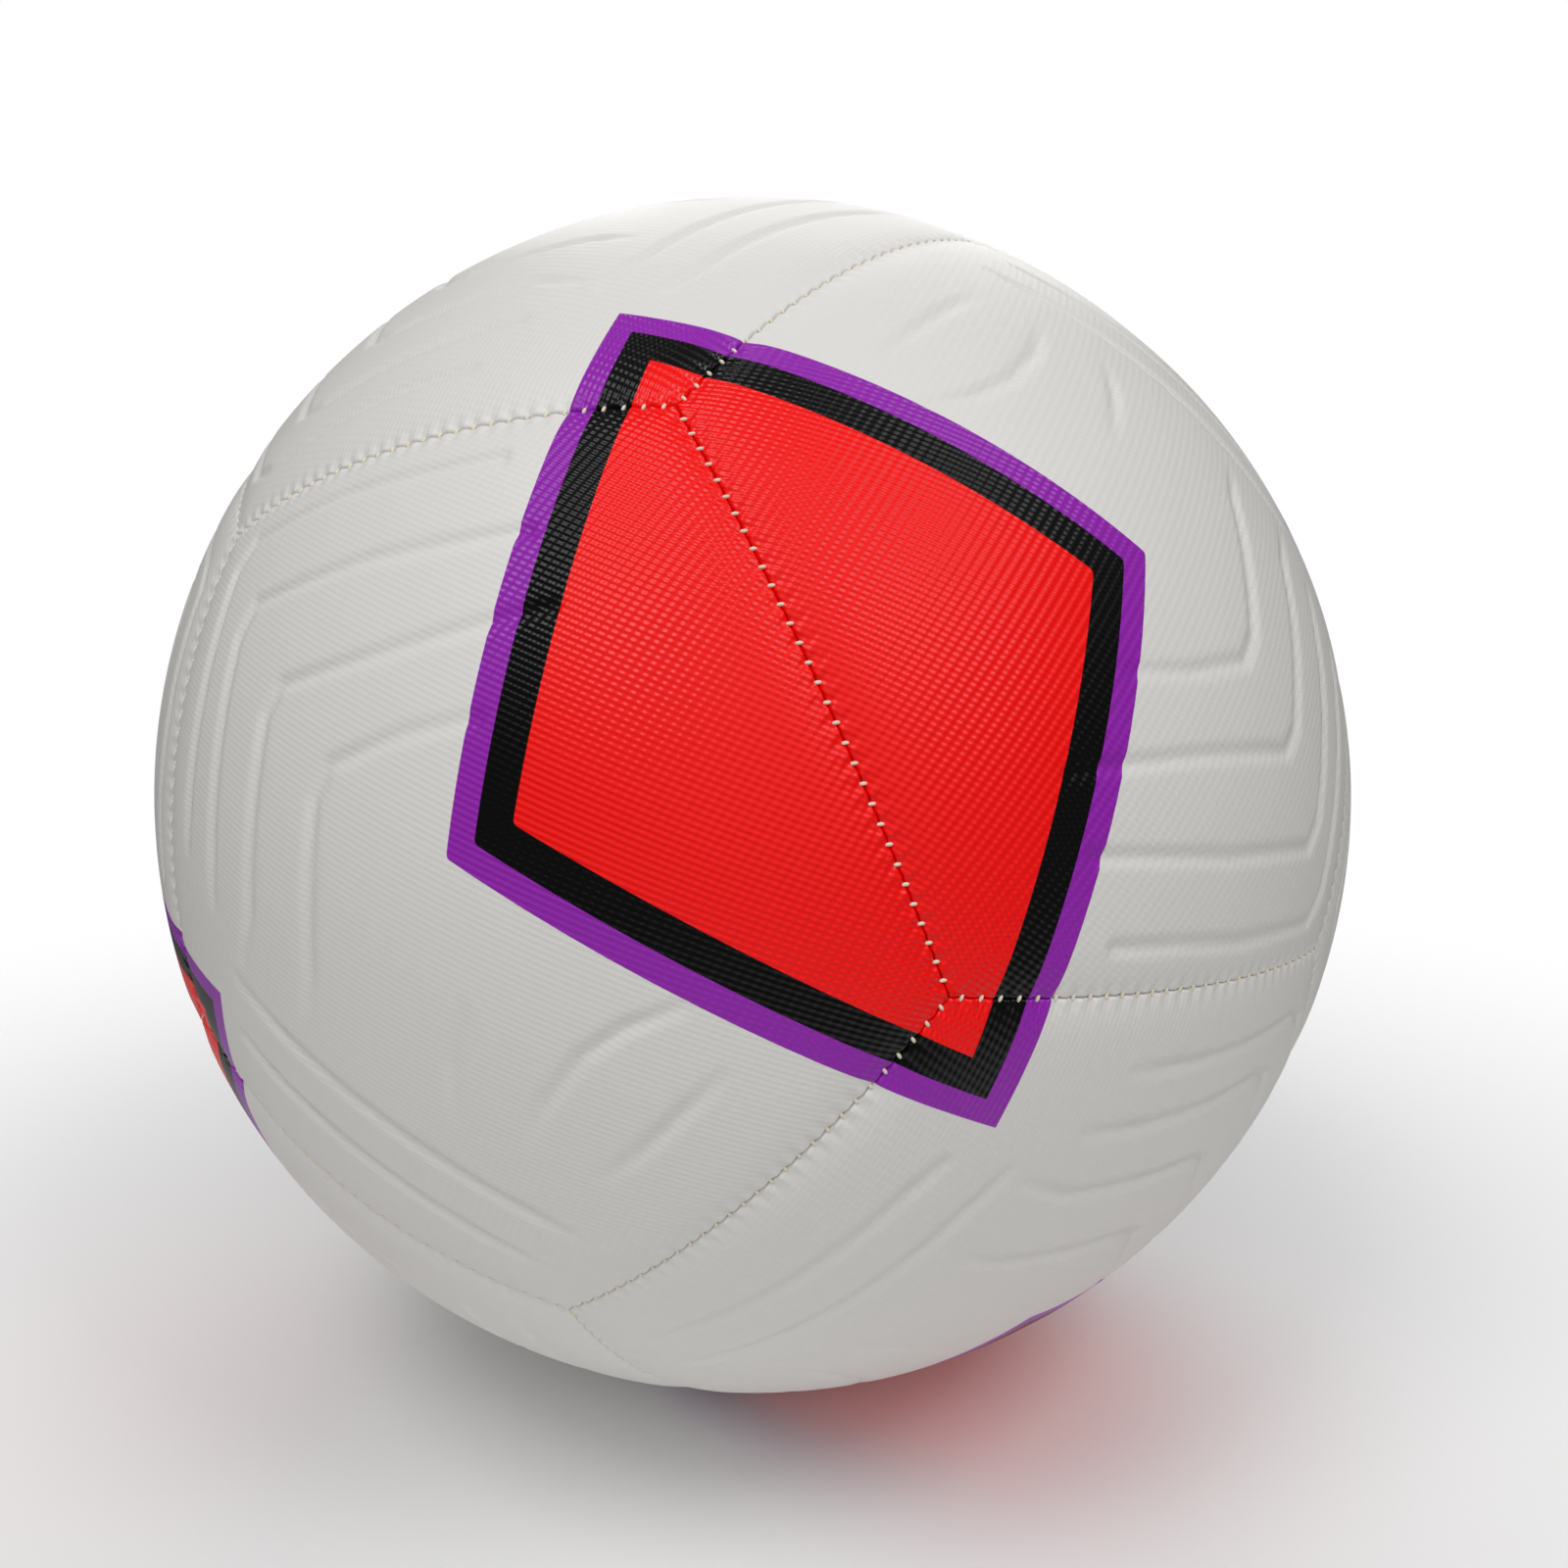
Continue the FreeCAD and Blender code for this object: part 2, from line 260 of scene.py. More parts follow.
class PanelPlan:
    """Directions and distances of the first panel, before it is turned into place."""

    def __init__(self):
        self.corners = panel_corners()
        self.following = self.corners[1:] + self.corners[:1]
        self.axis = sum(self.corners, Vector()).normalized()
        normals = [first.cross(second).normalized() for first, second in zip(self.corners, self.following)]
        self.planes = [normal * math.copysign(1, normal.dot(self.axis)) for normal in normals]
        self.middles = [(first + second).normalized() for first, second in zip(self.corners, self.following)]
        self.forwards = [(second - first).normalized() for first, second in zip(self.corners, self.following)]
        to_base = Vector((0, 0, 1))
        to_base -= self.axis * to_base.dot(self.axis)
        self.up = -to_base.normalized()
        self.right = self.up.cross(self.axis)

    def seam_distances(self, point):
        """Distances along the ball from a point to the five seam planes."""
        return [BALL_RADIUS * math.asin(point.normalized().dot(plane)) for plane in self.planes]

    def moved_to(self, point, distance):
        """Point on the ball, moved until the seams nearest to it are at a distance."""
        radius = point.length
        reach = min(self.seam_distances(point)) + CORNER_REACH
        near = [plane for plane, away in zip(self.planes, self.seam_distances(point)) if away < reach]
        for _ in range(SETTLING_ROUNDS):
            for plane in near:
                away = self.seam_distances(point)[self.planes.index(plane)]
                point = (point + plane * (distance - away)).normalized() * radius
        return point

    def flat(self, points):
        """Places on the unrolled panel, in mm to the right and up from its middle."""
        directions = points / numpy.linalg.norm(points, axis=1)[:, None]
        angles = numpy.arccos(numpy.clip(directions @ numpy.array(self.axis), -1, 1))
        across = directions @ numpy.array((self.right, self.up)).T
        length = numpy.maximum(numpy.linalg.norm(across, axis=1), 1e-9)
        return across * (angles / length * BALL_RADIUS / MM)[:, None]

    def print_place(self, point, by_tip):
        """Point's place on the print's own plane, in mm along and across a centre seam."""
        x, y, z = point
        if by_tip:
            return z / y * BALL_RADIUS / MM, x / y * BALL_RADIUS / MM
        return x / z * BALL_RADIUS / MM, y / z * BALL_RADIUS / MM


def groove_shares(places, groove, half_width):
    """How deep one groove is at each place, as a share of its full depth."""
    deepest = numpy.zeros(len(places))
    for (x0, y0, share0), (x1, y1, share1) in zip(groove, groove[1:]):
        start = numpy.array((x0, y0))
        run = numpy.array((x1, y1)) - start
        along = numpy.clip((places - start) @ run / (run @ run), 0, 1)
        away = numpy.linalg.norm(places - start - along[:, None] * run, axis=1)
        bowl = 0.5 + 0.5 * numpy.cos(math.pi * numpy.clip(away / half_width, 0, 1))
        deepest = numpy.maximum(deepest, (share0 + (share1 - share0) * along) * bowl)
    return deepest


def casing_drops(plan, points, sizes):
    """How far the casing lies under the full ball at each point of the first panel."""
    places = plan.flat(points)
    groove = numpy.zeros(len(points))
    for line in GROOVES:
        groove = numpy.maximum(groove, groove_shares(places, line, sizes.groove_half_width / MM))
    directions = points / numpy.linalg.norm(points, axis=1)[:, None]
    distances = BALL_RADIUS * numpy.arcsin(directions @ numpy.array(plan.planes).T)
    nearest = numpy.min(distances, axis=1)
    seam = numpy.argmin(distances, axis=1)
    forward = numpy.sum(directions * numpy.array(plan.forwards)[seam], axis=1)
    middle = numpy.sum(directions * numpy.array(plan.middles)[seam], axis=1)
    along = BALL_RADIUS * numpy.arctan2(forward, middle)
    fade = numpy.clip((nearest - sizes.edge_roll) / GROOVE_FADE, 0, 1)
    wave = 0.5 + 0.5 * numpy.cos(2 * math.pi * along / sizes.stitch_pitch)
    inward = numpy.clip(sizes.seam_gap + sizes.edge_roll - nearest, 0, sizes.edge_roll)
    return (
        groove * sizes.groove_depth * fade
        + sizes.seam_dip * numpy.exp(-((nearest / sizes.seam_dip_width) ** 2))
        + sizes.pucker * wave * numpy.exp(-((nearest / sizes.pucker_width) ** 2))
        + sizes.edge_roll
        - numpy.sqrt(sizes.edge_roll ** 2 - inward ** 2)
    )


def boundary_edges(bm):
    """Edges with a face on one side only."""
    return [edge for edge in bm.edges if len(edge.link_faces) == 1]


def panel_grid(bm, plan, sizes):
    """Five four-sided fields round the panel's middle, cut into a fine grid on the ball."""
    inset = sizes.seam_gap + sizes.edge_roll
    rim = []
    for index, corner in enumerate(plan.corners):
        following = plan.corners[(index + 1) % len(plan.corners)]
        rim.append(plan.moved_to(corner * BALL_RADIUS, inset))
        rim.append(plan.moved_to((corner + following).normalized() * BALL_RADIUS, inset))
    middle = bm.verts.new(plan.axis * BALL_RADIUS)
    rim = [bm.verts.new(point) for point in rim]
    for index in range(0, len(rim), 2):
        bm.faces.new((middle, rim[index - 1], rim[index], rim[index + 1]))
    bmesh.ops.subdivide_edges(bm, edges=bm.edges[:], cuts=sizes.grid_cuts, use_grid_fill=True)
    for vert in bm.verts:
        vert.co = vert.co.normalized() * BALL_RADIUS


def cut_valve_hole(bm, plan, radius):
    """Round hole in the middle of a panel."""
    inside = []
    for face in bm.faces:
        middle = face.calc_center_median()
        if (middle - plan.axis * middle.dot(plan.axis)).length < radius:
            inside.append(face)
    bmesh.ops.delete(bm, geom=inside, context="FACES")
    for edge in boundary_edges(bm):
        for vert in edge.verts:
            off_axis = vert.co - plan.axis * vert.co.dot(plan.axis)
            if off_axis.length < 2 * radius:
                vert.co = plan.axis * vert.co.dot(plan.axis) + off_axis.normalized() * radius


def roll_edges(bm, plan, sizes):
    """Rolls the panel's outer edge into the seam and runs it down as a turned-in edge."""
    for step in range(1, ROLL_STEPS + 1):
        angle = math.pi / 2 * step / ROLL_STEPS
        distance = sizes.seam_gap + sizes.edge_roll * (1 - math.sin(angle))
        for vert in extruded_rim(bm, plan):
            vert.co = plan.moved_to(vert.co, distance)


def extruded_rim(bm, plan):
    """New vertices of the outer boundary, extruded once."""
    outer = []
    for edge in boundary_edges(bm):
        if min(plan.seam_distances(edge.verts[0].co)) < RIM_WIDTH:
            outer.append(edge)
    extruded = bmesh.ops.extrude_edge_only(bm, edges=outer)
    return [item for item in extruded["geom"] if isinstance(item, bmesh.types.BMVert)]


def sink_casing(bm, plan, sizes):
    """Presses the grooves, the seam dips and the rolled edges into the panel."""
    points = numpy.array([vert.co for vert in bm.verts])
    for vert, drop in zip(bm.verts, casing_drops(plan, points, sizes)):
        vert.co = vert.co.normalized() * (BALL_RADIUS - drop)


def lay_out_print(bm, plan):
    """Gives every face its place on the print and on the unrolled panel."""
    print_layer = bm.loops.layers.uv.new("print")
    grain_layer = bm.loops.layers.uv.new("grain")
    bm.verts.index_update()
    places = plan.flat(numpy.array([vert.co for vert in bm.verts])).tolist()
    for face in bm.faces:
        middle = face.calc_center_median()
        by_tip = middle.y > middle.z
        for loop in face.loops:
            loop[print_layer].uv = plan.print_place(loop.vert.co, by_tip)
            loop[grain_layer].uv = places[loop.vert.index]


def panel_mesh(plan, sizes, pierced):
    """Closed mesh of the first panel's skin, with or without the valve's hole."""
    bm = bmesh.new()
    panel_grid(bm, plan, sizes)
    if pierced:
        cut_valve_hole(bm, plan, sizes.valve_hole)
    roll_edges(bm, plan, sizes)
    sink_casing(bm, plan, sizes)
    for vert in extruded_rim(bm, plan):
        vert.co = vert.co.normalized() * (vert.co.length - sizes.turned_edge)
    bmesh.ops.recalc_face_normals(bm, faces=bm.faces[:])
    top = max(bm.faces, key=lambda face: face.calc_center_median().length)
    if top.normal.dot(top.calc_center_median()) < 0:
        bmesh.ops.reverse_faces(bm, faces=bm.faces[:])
    lay_out_print(bm, plan)
    bmesh.ops.solidify(bm, geom=bm.faces[:], thickness=sizes.skin)
    mesh = bpy.data.meshes.new("panel")
    bm.to_mesh(mesh)
    bm.free()
    mesh.shade_smooth()
    return mesh


def add_piece(name, mesh, body, material):
    """Object at the origin that rides on a body and takes its finish from a slot."""
    piece = bpy.data.objects.new(name, mesh)
    bpy.context.scene.collection.objects.link(piece)
    mesh.materials.clear()
    mesh.materials.append(material)
    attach(piece, body)
    return piece


def add(tree, kind, inputs=None, **settings):
    """Adds a node with its settings, and links or sets its inputs."""
    node = tree.nodes.new(kind)
    for key, value in settings.items():
        setattr(node, key, value)
    for key, value in (inputs or {}).items():
        if isinstance(value, bpy.types.NodeSocket):
            tree.links.new(value, node.inputs[key])
        else:
            node.inputs[key].default_value = value
    return node


def new_material(name):
    """Empty node material with its output, and its tree."""
    material = bpy.data.materials.new(name)
    material.use_nodes = True
    material.node_tree.nodes.clear()
    return material, material.node_tree


def finish_material(tree, shader):
    """Links a shader to the material's output."""
    output = add(tree, "ShaderNodeOutputMaterial")
    tree.links.new(shader.outputs["BSDF"], output.inputs["Surface"])


def diamond(reach, height):
    """Corners of a plain diamond's upper half in mm, carried a little past its middle line."""
    wide = reach * (1 + PRINT_OVERLAP / height)
    return [(-wide, -PRINT_OVERLAP), (wide, -PRINT_OVERLAP), (0, height)]


def print_layers(colours):
    """The print's upper half, painted in order: colour and outline. The lower half is the same.

    It is a plain diamond with two even borders.
    """
    return [
        (colours.purple, diamond(72, 56)),
        (colours.black, diamond(65, 50.5)),
        (colours.red, diamond(56, 43.5)),
    ]


def outline_depth(tree, place, corners):
    """Socket with the depth in mm inside a convex, rounded outline, negative outside it."""
    depth = None
    centre = sum((Vector(corner) for corner in corners), Vector((0, 0))) / len(corners)
    for first, second in zip(corners, corners[1:] + corners[:1]):
        run = (Vector(second) - Vector(first)).normalized()
        side = Vector((-run.y, run.x))
        offset = -side.dot(Vector(first))
        if side.dot(centre) + offset < 0:
            side, offset = -side, -offset
        edge = add(
            tree, "ShaderNodeVectorMath", {0: place, 1: (side.x, side.y, offset)}, operation="DOT_PRODUCT"
        ).outputs["Value"]
        if depth is None:
            depth = edge
        else:
            depth = add(
                tree, "ShaderNodeMath", {0: depth, 1: edge, 2: CORNER_ROUNDING}, operation="SMOOTH_MIN"
            ).outputs[0]
    return depth


def print_colour(tree, colours):
    """Sockets with the casing's colour, which is white under the print's layers, and its ink."""
    place = add(tree, "ShaderNodeUVMap", uv_map="print").outputs["UV"]
    parts = add(tree, "ShaderNodeSeparateXYZ", {0: place})
    sign = add(tree, "ShaderNodeMath", {0: parts.outputs["Y"]}, operation="SIGN").outputs[0]
    along = add(tree, "ShaderNodeMath", {0: parts.outputs["X"], 1: sign}, operation="MULTIPLY").outputs[0]
    across = add(tree, "ShaderNodeMath", {0: parts.outputs["Y"]}, operation="ABSOLUTE").outputs[0]
    folded = add(tree, "ShaderNodeCombineXYZ", {"X": along, "Y": across, "Z": 1.0}).outputs[0]
    colour = add(tree, "ShaderNodeRGB").outputs[0]
    colour.default_value = (*colours.white, 1)
    inked = None
    for paint, outline in print_layers(colours):
        depth = outline_depth(tree, folded, outline)
        mask = add(
            tree,
            "ShaderNodeMath",
            {0: depth, 1: INK_SHARPNESS, 2: 0.5},
            operation="MULTIPLY_ADD",
            use_clamp=True,
        ).outputs[0]
        mix = add(tree, "ShaderNodeMix", {"Factor": mask}, data_type="RGBA")
        tree.links.new(colour, mix.inputs["A"])
        mix.inputs["B"].default_value = (*paint, 1)
        colour = mix.outputs["Result"]
        if inked is None:
            inked = mask
        else:
            inked = add(tree, "ShaderNodeMath", {0: inked, 1: mask}, operation="MAXIMUM").outputs[0]
    return colour, inked


def casing_material(colours):
    """Embossed polyurethane leather with screen print, as on a real ball's casing.

    Its fine dashes and satin, slightly clouded sheen read as leather, and the glossier ink as print.
    """
    material, tree = new_material("printed_polyurethane_leather")
    colour, inked = print_colour(tree, colours)
    # The embossing is rounded dashes, staggered from row to row. It is fainter where there is no ink.
    grain = add(tree, "ShaderNodeUVMap", uv_map="grain").outputs["UV"]
    turned = add(
        tree,
        "ShaderNodeMapping",
        {
            "Vector": grain,
            "Rotation": (0, 0, math.radians(GRAIN_TURN)),
            "Scale": (DASH_PITCH / (2 * math.pi), DASH_ROW / math.pi, 1),
        },
        vector_type="TEXTURE",
    )
    steps = add(tree, "ShaderNodeSeparateXYZ", {0: turned.outputs[0]})
    lean = add(
        tree,
        "ShaderNodeMath",
        {0: steps.outputs["Y"], 1: DASH_LEAN, 2: steps.outputs["X"]},
        operation="MULTIPLY_ADD",
    )
    along = add(tree, "ShaderNodeMath", {0: lean.outputs[0]}, operation="COSINE")
    across = add(tree, "ShaderNodeMath", {0: steps.outputs["Y"]}, operation="COSINE")
    dashes = add(tree, "ShaderNodeMath", {0: along.outputs[0], 1: across.outputs[0]}, operation="MULTIPLY")
    relief = add(
        tree,
        "ShaderNodeMath",
        {0: inked, 1: 1 - WHITE_RELIEF, 2: WHITE_RELIEF},
        operation="MULTIPLY_ADD",
    )
    height = add(tree, "ShaderNodeMath", {0: dashes.outputs[0], 1: relief.outputs[0]}, operation="MULTIPLY")
    bump = add(
        tree, "ShaderNodeBump", {"Strength": 1.0, "Distance": DASH_RELIEF * MM, "Height": height.outputs[0]}
    )
    spots = add(tree, "ShaderNodeTexCoord").outputs["Object"]
    cloud = add(tree, "ShaderNodeTexNoise", {"Vector": spots, "Scale": 30.0, "Detail": 3.0})
    rough = add(
        tree,
        "ShaderNodeMapRange",
        {
            "Value": cloud.outputs["Fac"],
            "From Min": 0.3,
            "From Max": 0.7,
            "To Min": WHITE_ROUGHNESS[0],
            "To Max": WHITE_ROUGHNESS[1],
        },
    )
    inky = add(
        tree, "ShaderNodeMath", {0: inked, 1: -INK_GLOSS, 2: rough.outputs[0]}, operation="MULTIPLY_ADD"
    )
    shader = add(
        tree,
        "ShaderNodeBsdfPrincipled",
        {
            "Base Color": colour,
            "Roughness": inky.outputs[0],
            "Normal": bump.outputs[0],
            "IOR": 1.5,
            "Specular IOR Level": 0.35,
        },
    )
    finish_material(tree, shader)
    return material


def simple_material(name, colour, roughness, scale, depth, texture="ShaderNodeTexNoise"):
    """Plain material with a fine relief and a little variation of colour."""
    material, tree = new_material(name)
    place = add(tree, "ShaderNodeTexCoord").outputs["Object"]
    pattern = add(tree, texture, {"Vector": place, "Scale": scale})
    out = pattern.outputs["Fac"] if "Fac" in pattern.outputs else pattern.outputs["Distance"]
    bump = add(tree, "ShaderNodeBump", {"Strength": 0.8, "Distance": depth, "Height": out})
    mix = add(tree, "ShaderNodeMix", {"Factor": out}, data_type="RGBA")
    mix.inputs["A"].default_value = (*[value * 0.8 for value in colour], 1)
    mix.inputs["B"].default_value = (*colour, 1)
    shader = add(
        tree,
        "ShaderNodeBsdfPrincipled",
        {"Base Color": mix.outputs["Result"], "Roughness": roughness, "Normal": bump.outputs[0]},
    )
    finish_material(tree, shader)
    return material


class BALL_OT_stage(bpy.types.Operator):
    """Adds the camera, the pale floor and the soft studio lights"""

    bl_idname = "ball.stage"
    bl_label = "Stage"

    def execute(self, context):
        view_rise = math.radians(CAMERA_RISE)
        distance = CAMERA_DISTANCE * BALL_RADIUS
        towards = Vector((0, -math.cos(view_rise), math.sin(view_rise)))
        camera = bpy.data.cameras.new("camera")
        camera.sensor_width = CAMERA_FILM
        camera.lens = CAMERA_LENS
        camera.shift_x, camera.shift_y = CAMERA_SHIFT
        camera.clip_start = CAMERA_NEAR
        holder = bpy.data.objects.new("camera", camera)
        holder.location = towards * distance
        holder.rotation_euler = (-towards).to_track_quat("-Z", "Y").to_euler()
        context.scene.collection.objects.link(holder)
        context.scene.camera = holder
        self.add_floor(context)
        self.add_ceiling(context)
        for name, place, size, power in SOFTBOXES:
            self.add_softbox(context, name, place, size, power)
        context.scene.view_settings.view_transform = "Standard"
        self.add_surround(context)
        return {"FINISHED"}

    def add_surround(self, context):
        """Even white surround that lights the ball more softly than it looks."""
        world = bpy.data.worlds.new("studio")
        world.use_nodes = True
        tree = world.node_tree
        tree.nodes.clear()
        seen = add(tree, "ShaderNodeLightPath").outputs["Is Camera Ray"]
        strength = add(
            tree, "ShaderNodeMapRange", {"Value": seen, "To Min": SURROUND_LIGHT, "To Max": SURROUND_LOOK}
        )
        light = add(
            tree, "ShaderNodeBackground", {"Color": (1, 1, 1, 1), "Strength": strength.outputs[0]}
        )
        output = add(tree, "ShaderNodeOutputWorld")
        tree.links.new(light.outputs[0], output.inputs["Surface"])
        context.scene.world = world

    def add_floor(self, context):
        """Large pale disc under the ball."""
        bm = bmesh.new()
        bmesh.ops.create_circle(bm, cap_ends=True, segments=FLOOR_SIDES, radius=FLOOR_RADIUS)
        bmesh.ops.translate(bm, verts=bm.verts[:], vec=(0, 0, LOWEST))
        mesh = bpy.data.meshes.new("floor")
        bm.to_mesh(mesh)
        bm.free()
        floor = bpy.data.objects.new("floor", mesh)
        mesh.materials.append(self.floor_material())
        context.scene.collection.objects.link(floor)

    def floor_material(self):
        """Matt white backdrop paper: its faint fibre keeps it from looking like plastic.

        It fades into the surround away from the ball.
        """
        material, tree = new_material("matt_paper")
        place = add(tree, "ShaderNodeTexCoord").outputs["Object"]
        fibres = add(tree, "ShaderNodeTexNoise", {"Vector": place, "Scale": 900.0})
        bump = add(
            tree, "ShaderNodeBump", {"Strength": 0.5, "Distance": 0.02 * MM, "Height": fibres.outputs["Fac"]}
        )
        paper = add(
            tree,
            "ShaderNodeBsdfPrincipled",
            {"Base Color": (*linear("#ECECEC"), 1), "Roughness": 0.9, "Normal": bump.outputs[0]},
        )
        flat = add(tree, "ShaderNodeVectorMath", {0: place, 1: (1, 1, 0)}, operation="MULTIPLY")
        away = add(tree, "ShaderNodeVectorMath", {0: flat.outputs[0]}, operation="LENGTH")
        fade = add(
            tree,
            "ShaderNodeMapRange",
            {"Value": away.outputs["Value"], "From Min": FADE_START, "From Max": FADE_END},
            interpolation_type="SMOOTHSTEP",
        )
        clear = add(tree, "ShaderNodeBsdfTransparent")
        mix = add(
            tree, "ShaderNodeMixShader", {0: fade.outputs[0], 1: paper.outputs[0], 2: clear.outputs[0]}
        )
        output = add(tree, "ShaderNodeOutputMaterial")
        tree.links.new(mix.outputs[0], output.inputs["Surface"])
        return material

    def add_ceiling(self, context):
        """Very wide, even light from above and in front, kept out of the sheen."""
        light = bpy.data.lights.new("ceiling", "SUN")
        light.angle = math.radians(CEILING_SPREAD)
        light.energy = CEILING_STRENGTH
        holder = bpy.data.objects.new("ceiling", light)
        holder.rotation_euler = Vector(CEILING_FROM).to_track_quat("Z", "Y").to_euler()
        holder.visible_glossy = False
        context.scene.collection.objects.link(holder)

    def add_softbox(self, context, name, place, size, power):
        """Square soft light aimed at the ball."""
        light = bpy.data.lights.new(name, "AREA")
        light.size = size
        light.energy = power
        holder = bpy.data.objects.new(name, light)
        holder.location = place
        holder.rotation_euler = Vector(place).to_track_quat("Z", "Y").to_euler()
        context.scene.collection.objects.link(holder)


class BALL_OT_casing(bpy.types.Operator):
    """Builds the twelve printed skins with their grooves and rolled edges"""

    bl_idname = "ball.casing"
    bl_label = "Casing"

    def execute(self, context):
        sizes = context.scene.ball_sizes
        plan = PanelPlan()
        material = casing_material(context.scene.ball_colours)
        whole = panel_mesh(plan, sizes, False)
        pierced = panel_mesh(plan, sizes, True)
        whole_lie = lie()
        for index, turn in enumerate(pattern_turns()):
            number = index + 1
            mesh = (pierced if number == VALVE_PANEL else whole).copy()
            mesh.transform((whole_lie @ turn).to_4x4())
            piece = add_piece(f"cover_skin_{number:02d}", mesh, BODY, material)
            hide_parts(f"cover_panel_{number:02d}")
        bpy.data.meshes.remove(whole)
        bpy.data.meshes.remove(pierced)
        return {"FINISHED"}


def all_seams(plan):
    """Ends of the six centre seams, which are the panels' base seams, and of the other twenty-four."""
    centre_seams = []
    side_seams = []
    seen = []
    for turn in pattern_turns():
        for index, corner in enumerate(plan.corners):
            following = plan.corners[(index + 1) % len(plan.corners)]
            start, end = turn @ corner, turn @ following
            middle = (start + end).normalized()
            if any((middle - other).length < SAME_SEAM for other in seen):
                continue
            seen.append(middle)
            base = index == len(plan.corners) - 1
            (centre_seams if base else side_seams).append((start, end))
    return centre_seams, side_seams


def stitch_row(start, end, sizes):
    """Mesh of short thread stitches lying across one seam, spun along it from one end."""
    middle = (start + end).normalized()
    normal = start.cross(end).normalized()
    half = start.angle(end) / 2
    count = int((half * BALL_RADIUS - STITCH_END_ROOM) / sizes.stitch_pitch)
    first_angle = -count * sizes.stitch_pitch / BALL_RADIUS
    out = Matrix.Rotation(first_angle, 3, normal) @ middle
    lengthwise = (normal + normal.cross(out) * STITCH_SLANT).normalized()
    turn = Matrix((lengthwise, out.cross(lengthwise), out)).transposed()
    stretch = Matrix.Diagonal((sizes.stitch_length / 2, sizes.thread / 2, sizes.thread / 2))
    place = Matrix.Translation(out * (BALL_RADIUS - sizes.stitch_depth))
    bm = bmesh.new()
    made = bmesh.ops.create_uvsphere(
        bm, u_segments=8, v_segments=5, radius=1, matrix=place @ (turn @ stretch).to_4x4()
    )
    faces = list({face for vert in made["verts"] for face in vert.link_faces})
    edges = list({edge for vert in made["verts"] for edge in vert.link_edges})
    bmesh.ops.spin(
        bm, geom=made["verts"] + edges + faces, cent=(0, 0, 0), axis=normal,
        angle=-2 * first_angle, steps=2 * count, use_duplicate=True,
    )
    mesh = bpy.data.meshes.new("stitch_row")
    bm.to_mesh(mesh)
    bm.free()
    return mesh


class BALL_OT_stitches(bpy.types.Operator):
    """Adds the thread stitches that show between the panels"""

    bl_idname = "ball.stitches"
    bl_label = "Stitches"

    def execute(self, context):
        sizes = context.scene.ball_sizes
        # Bonded polyester thread: its dull, fine-grained cream sets the stitches off from the casing.
        thread = simple_material(
            "bonded_polyester_thread", tuple(context.scene.ball_colours.thread), 0.6, 2500, 0.05 * MM
        )
        for name, seams in zip(("centre_seam", "side_seam"), all_seams(PanelPlan())):
            bm = bmesh.new()
            for start, end in seams:
                row = stitch_row(start, end, sizes)
                bm.from_mesh(row)
                bpy.data.meshes.remove(row)
            bmesh.ops.transform(bm, matrix=lie().to_4x4(), verts=bm.verts[:])
            mesh = bpy.data.meshes.new(name + "_stitches")
            bm.to_mesh(mesh)
            bm.free()
            mesh.shade_smooth()
            piece = add_piece(name + "_stitches", mesh, BODY, thread)
            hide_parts(name + "_threads")
        return {"FINISHED"}


class BALL_OT_valve(bpy.types.Operator):
    """Builds the push-in plug with its domed head and needle hole"""

    bl_idname = "ball.valve"
    bl_label = "Valve plug"

    def execute(self, context):
        bm = bmesh.new()
        rows = [bm.verts.new((radius * MM, 0, -depth * MM)) for radius, depth in PLUG_OUTLINE]
        edges = [bm.edges.new(pair) for pair in zip(rows, rows[1:] + rows[:1])]
        bmesh.ops.spin(
            bm, geom=rows + edges, cent=(0, 0, 0), axis=(0, 0, 1),
            angle=2 * math.pi, steps=PLUG_SEGMENTS, use_merge=True,
        )
        bmesh.ops.remove_doubles(bm, verts=bm.verts[:], dist=0.001 * MM)
        bmesh.ops.recalc_face_normals(bm, faces=bm.faces[:])
        stand = VALVE_AXIS.to_track_quat("Z", "Y").to_matrix().to_4x4()
        head_top = BALL_RADIUS - HEAD_RECESS
        place = Matrix.Translation(VALVE_AXIS * head_top) @ stand
        bmesh.ops.transform(bm, matrix=place, verts=bm.verts[:])
        mesh = bpy.data.meshes.new("valve_plug_head")
        bm.to_mesh(mesh)
        bm.free()
        mesh.shade_smooth()
        # Moulded butyl rubber: near black with a soft sheen, so that the plug reads against the casing.
        rubber = simple_material(
            "moulded_butyl_rubber", tuple(context.scene.ball_colours.rubber), 0.5, 1200, 0.02 * MM
        )
        piece = add_piece("moulded_valve_plug", mesh, PLUG_BODY, rubber)
        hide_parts("valve_plug")
        return {"FINISHED"}


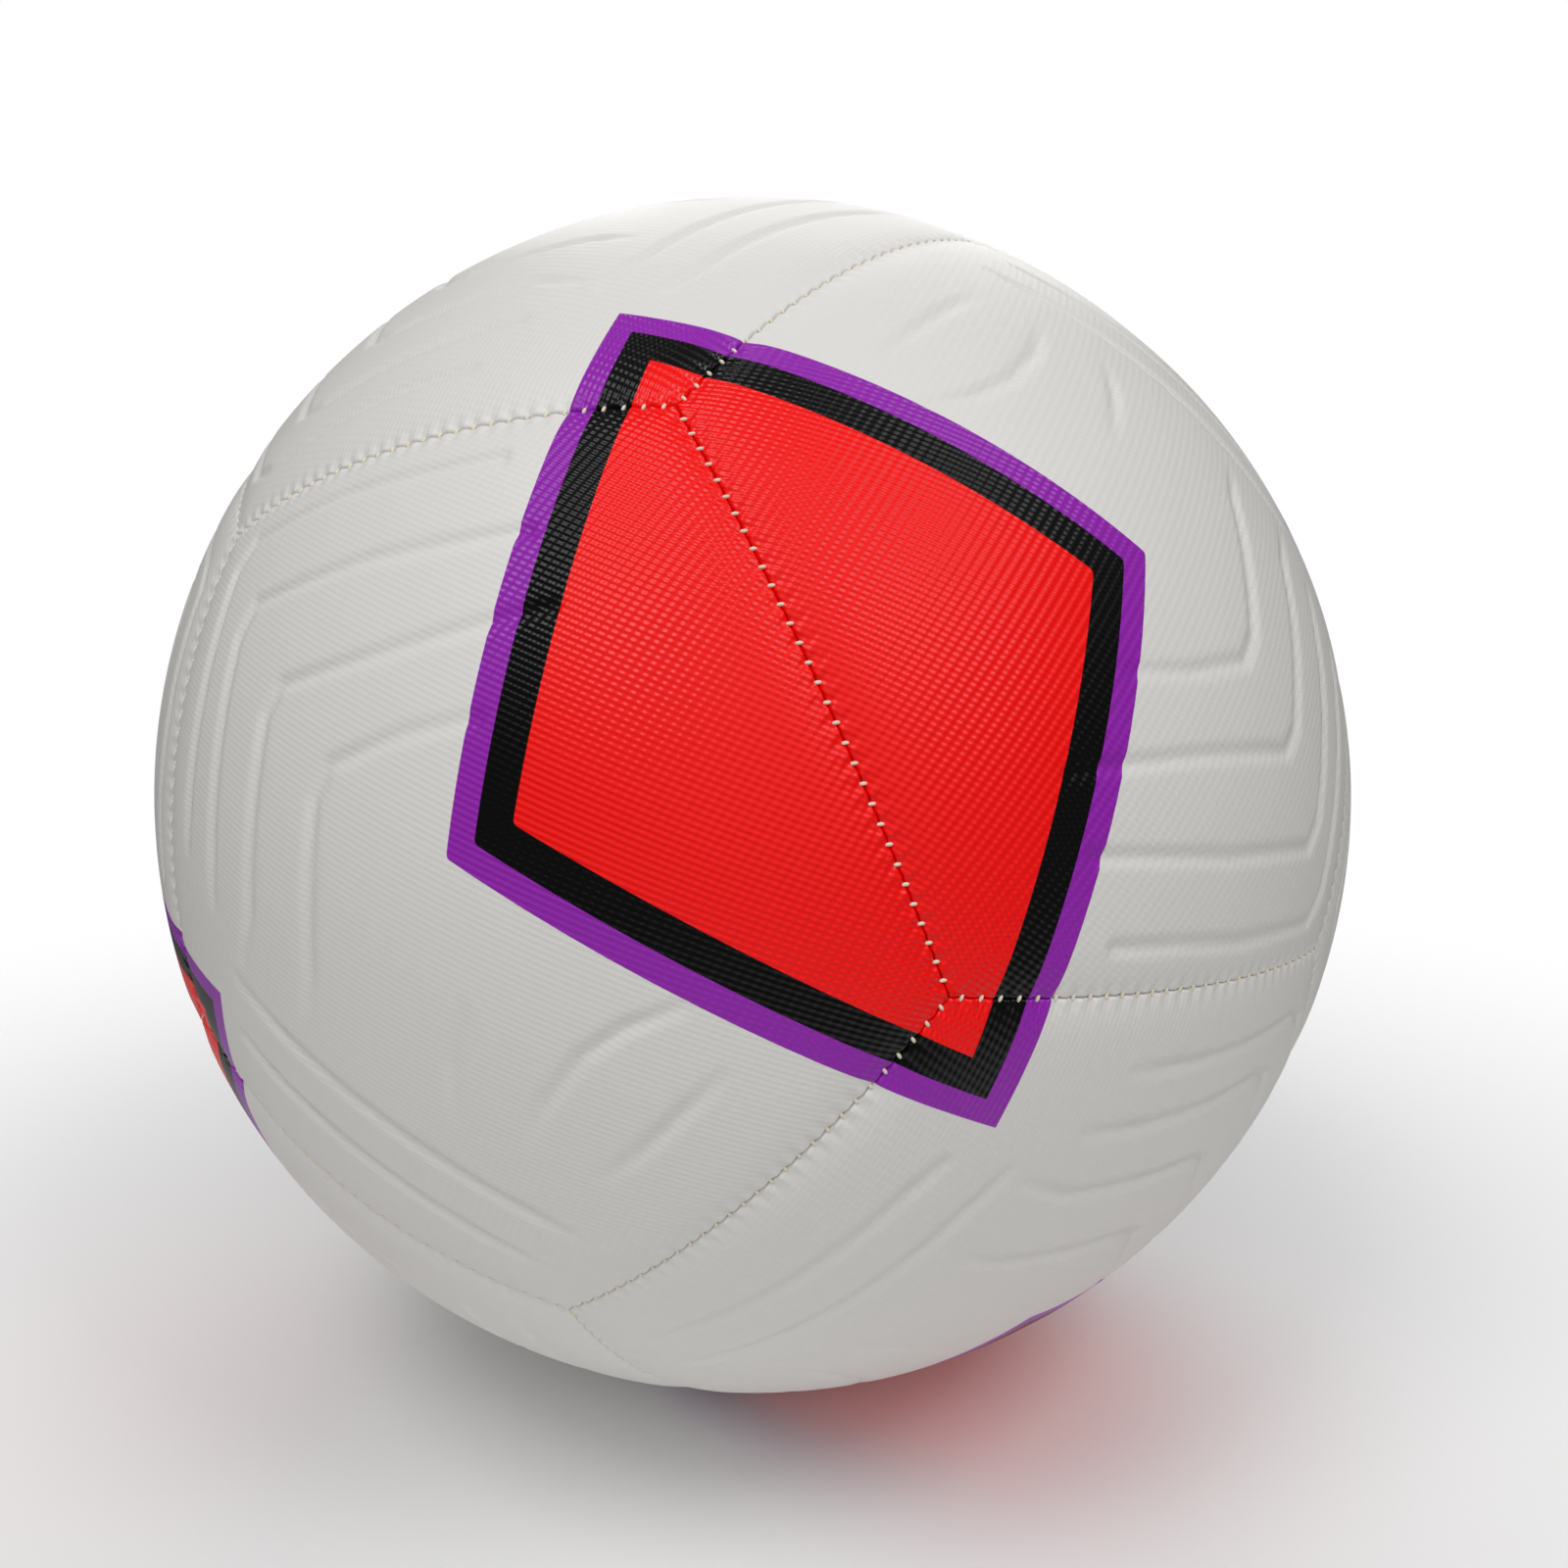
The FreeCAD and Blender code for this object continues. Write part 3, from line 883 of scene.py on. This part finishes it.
class BALL_OT_inside(bpy.types.Operator):
    """Gives the foam, linings, bladder and valve housing their materials"""

    bl_idname = "ball.inside"
    bl_label = "Inside"

    def execute(self, context):
        # Closed-cell foam: the small round cells and the matt surface show that it is soft.
        foam = simple_material(
            "closed_cell_foam", linear("#D8D6CE"), 0.9, 1500, 0.1 * MM, "ShaderNodeTexVoronoi"
        )
        # Woven cotton lining: a rough, unbleached surface, drawn as fine grain without single threads.
        cloth = simple_material("woven_cotton_lining", linear("#CFC8B6"), 0.95, 1200, 0.1 * MM)
        # Butyl rubber: black, slightly uneven and dull, as on an inflated bladder.
        rubber = simple_material(
            "butyl_rubber", tuple(context.scene.ball_colours.rubber), 0.6, 400, 0.03 * MM
        )
        for number in range(1, PANEL_COUNT + 1):
            self.coat(f"foam_backing_{number:02d}", foam)
            self.coat(f"cloth_lining_{number:02d}", cloth)
        for name in ("bladder", "valve_patch", "balance_patch", "valve_housing"):
            self.coat(name, rubber)
        return {"FINISHED"}

    def coat(self, node, material):
        """Puts one material on every slot of a carried-over piece."""
        data = frame["nodes"][node].data
        if not data.materials:
            data.materials.append(material)
        for index in range(len(data.materials)):
            data.materials[index] = material


class BALL_PT_sidebar(bpy.types.Panel):
    """Lists the steps that build the ball"""

    bl_label = "Soccer ball"
    bl_idname = "BALL_PT_sidebar"
    bl_space_type = "VIEW_3D"
    bl_region_type = "UI"
    bl_category = "Ball"

    def draw(self, context):
        for step in STEPS:
            self.layout.operator(step.bl_idname)
        for group in (context.scene.ball_sizes, context.scene.ball_colours):
            for name in group.bl_rna.properties.keys():
                if name not in ("rna_type", "name"):
                    self.layout.prop(group, name)


STEPS = (BALL_OT_stage, BALL_OT_casing, BALL_OT_stitches, BALL_OT_valve, BALL_OT_inside)
CLASSES = (BallSizes, BallColours, *STEPS, BALL_PT_sidebar)


def register():
    """Registers the classes and hangs the settings on the scene."""
    for item in CLASSES:
        bpy.utils.register_class(item)
    bpy.types.Scene.ball_sizes = PointerProperty(type=BallSizes)
    bpy.types.Scene.ball_colours = PointerProperty(type=BallColours)


def unregister():
    """Takes the settings and the classes away again."""
    del bpy.types.Scene.ball_colours
    del bpy.types.Scene.ball_sizes
    for item in reversed(CLASSES):
        bpy.utils.unregister_class(item)


def main():
    """Builds the ball step by step."""
    register()
    bpy.ops.ball.stage()
    bpy.ops.ball.casing()
    bpy.ops.ball.stitches()
    bpy.ops.ball.valve()
    bpy.ops.ball.inside()


if __name__ == "__main__":
    main()
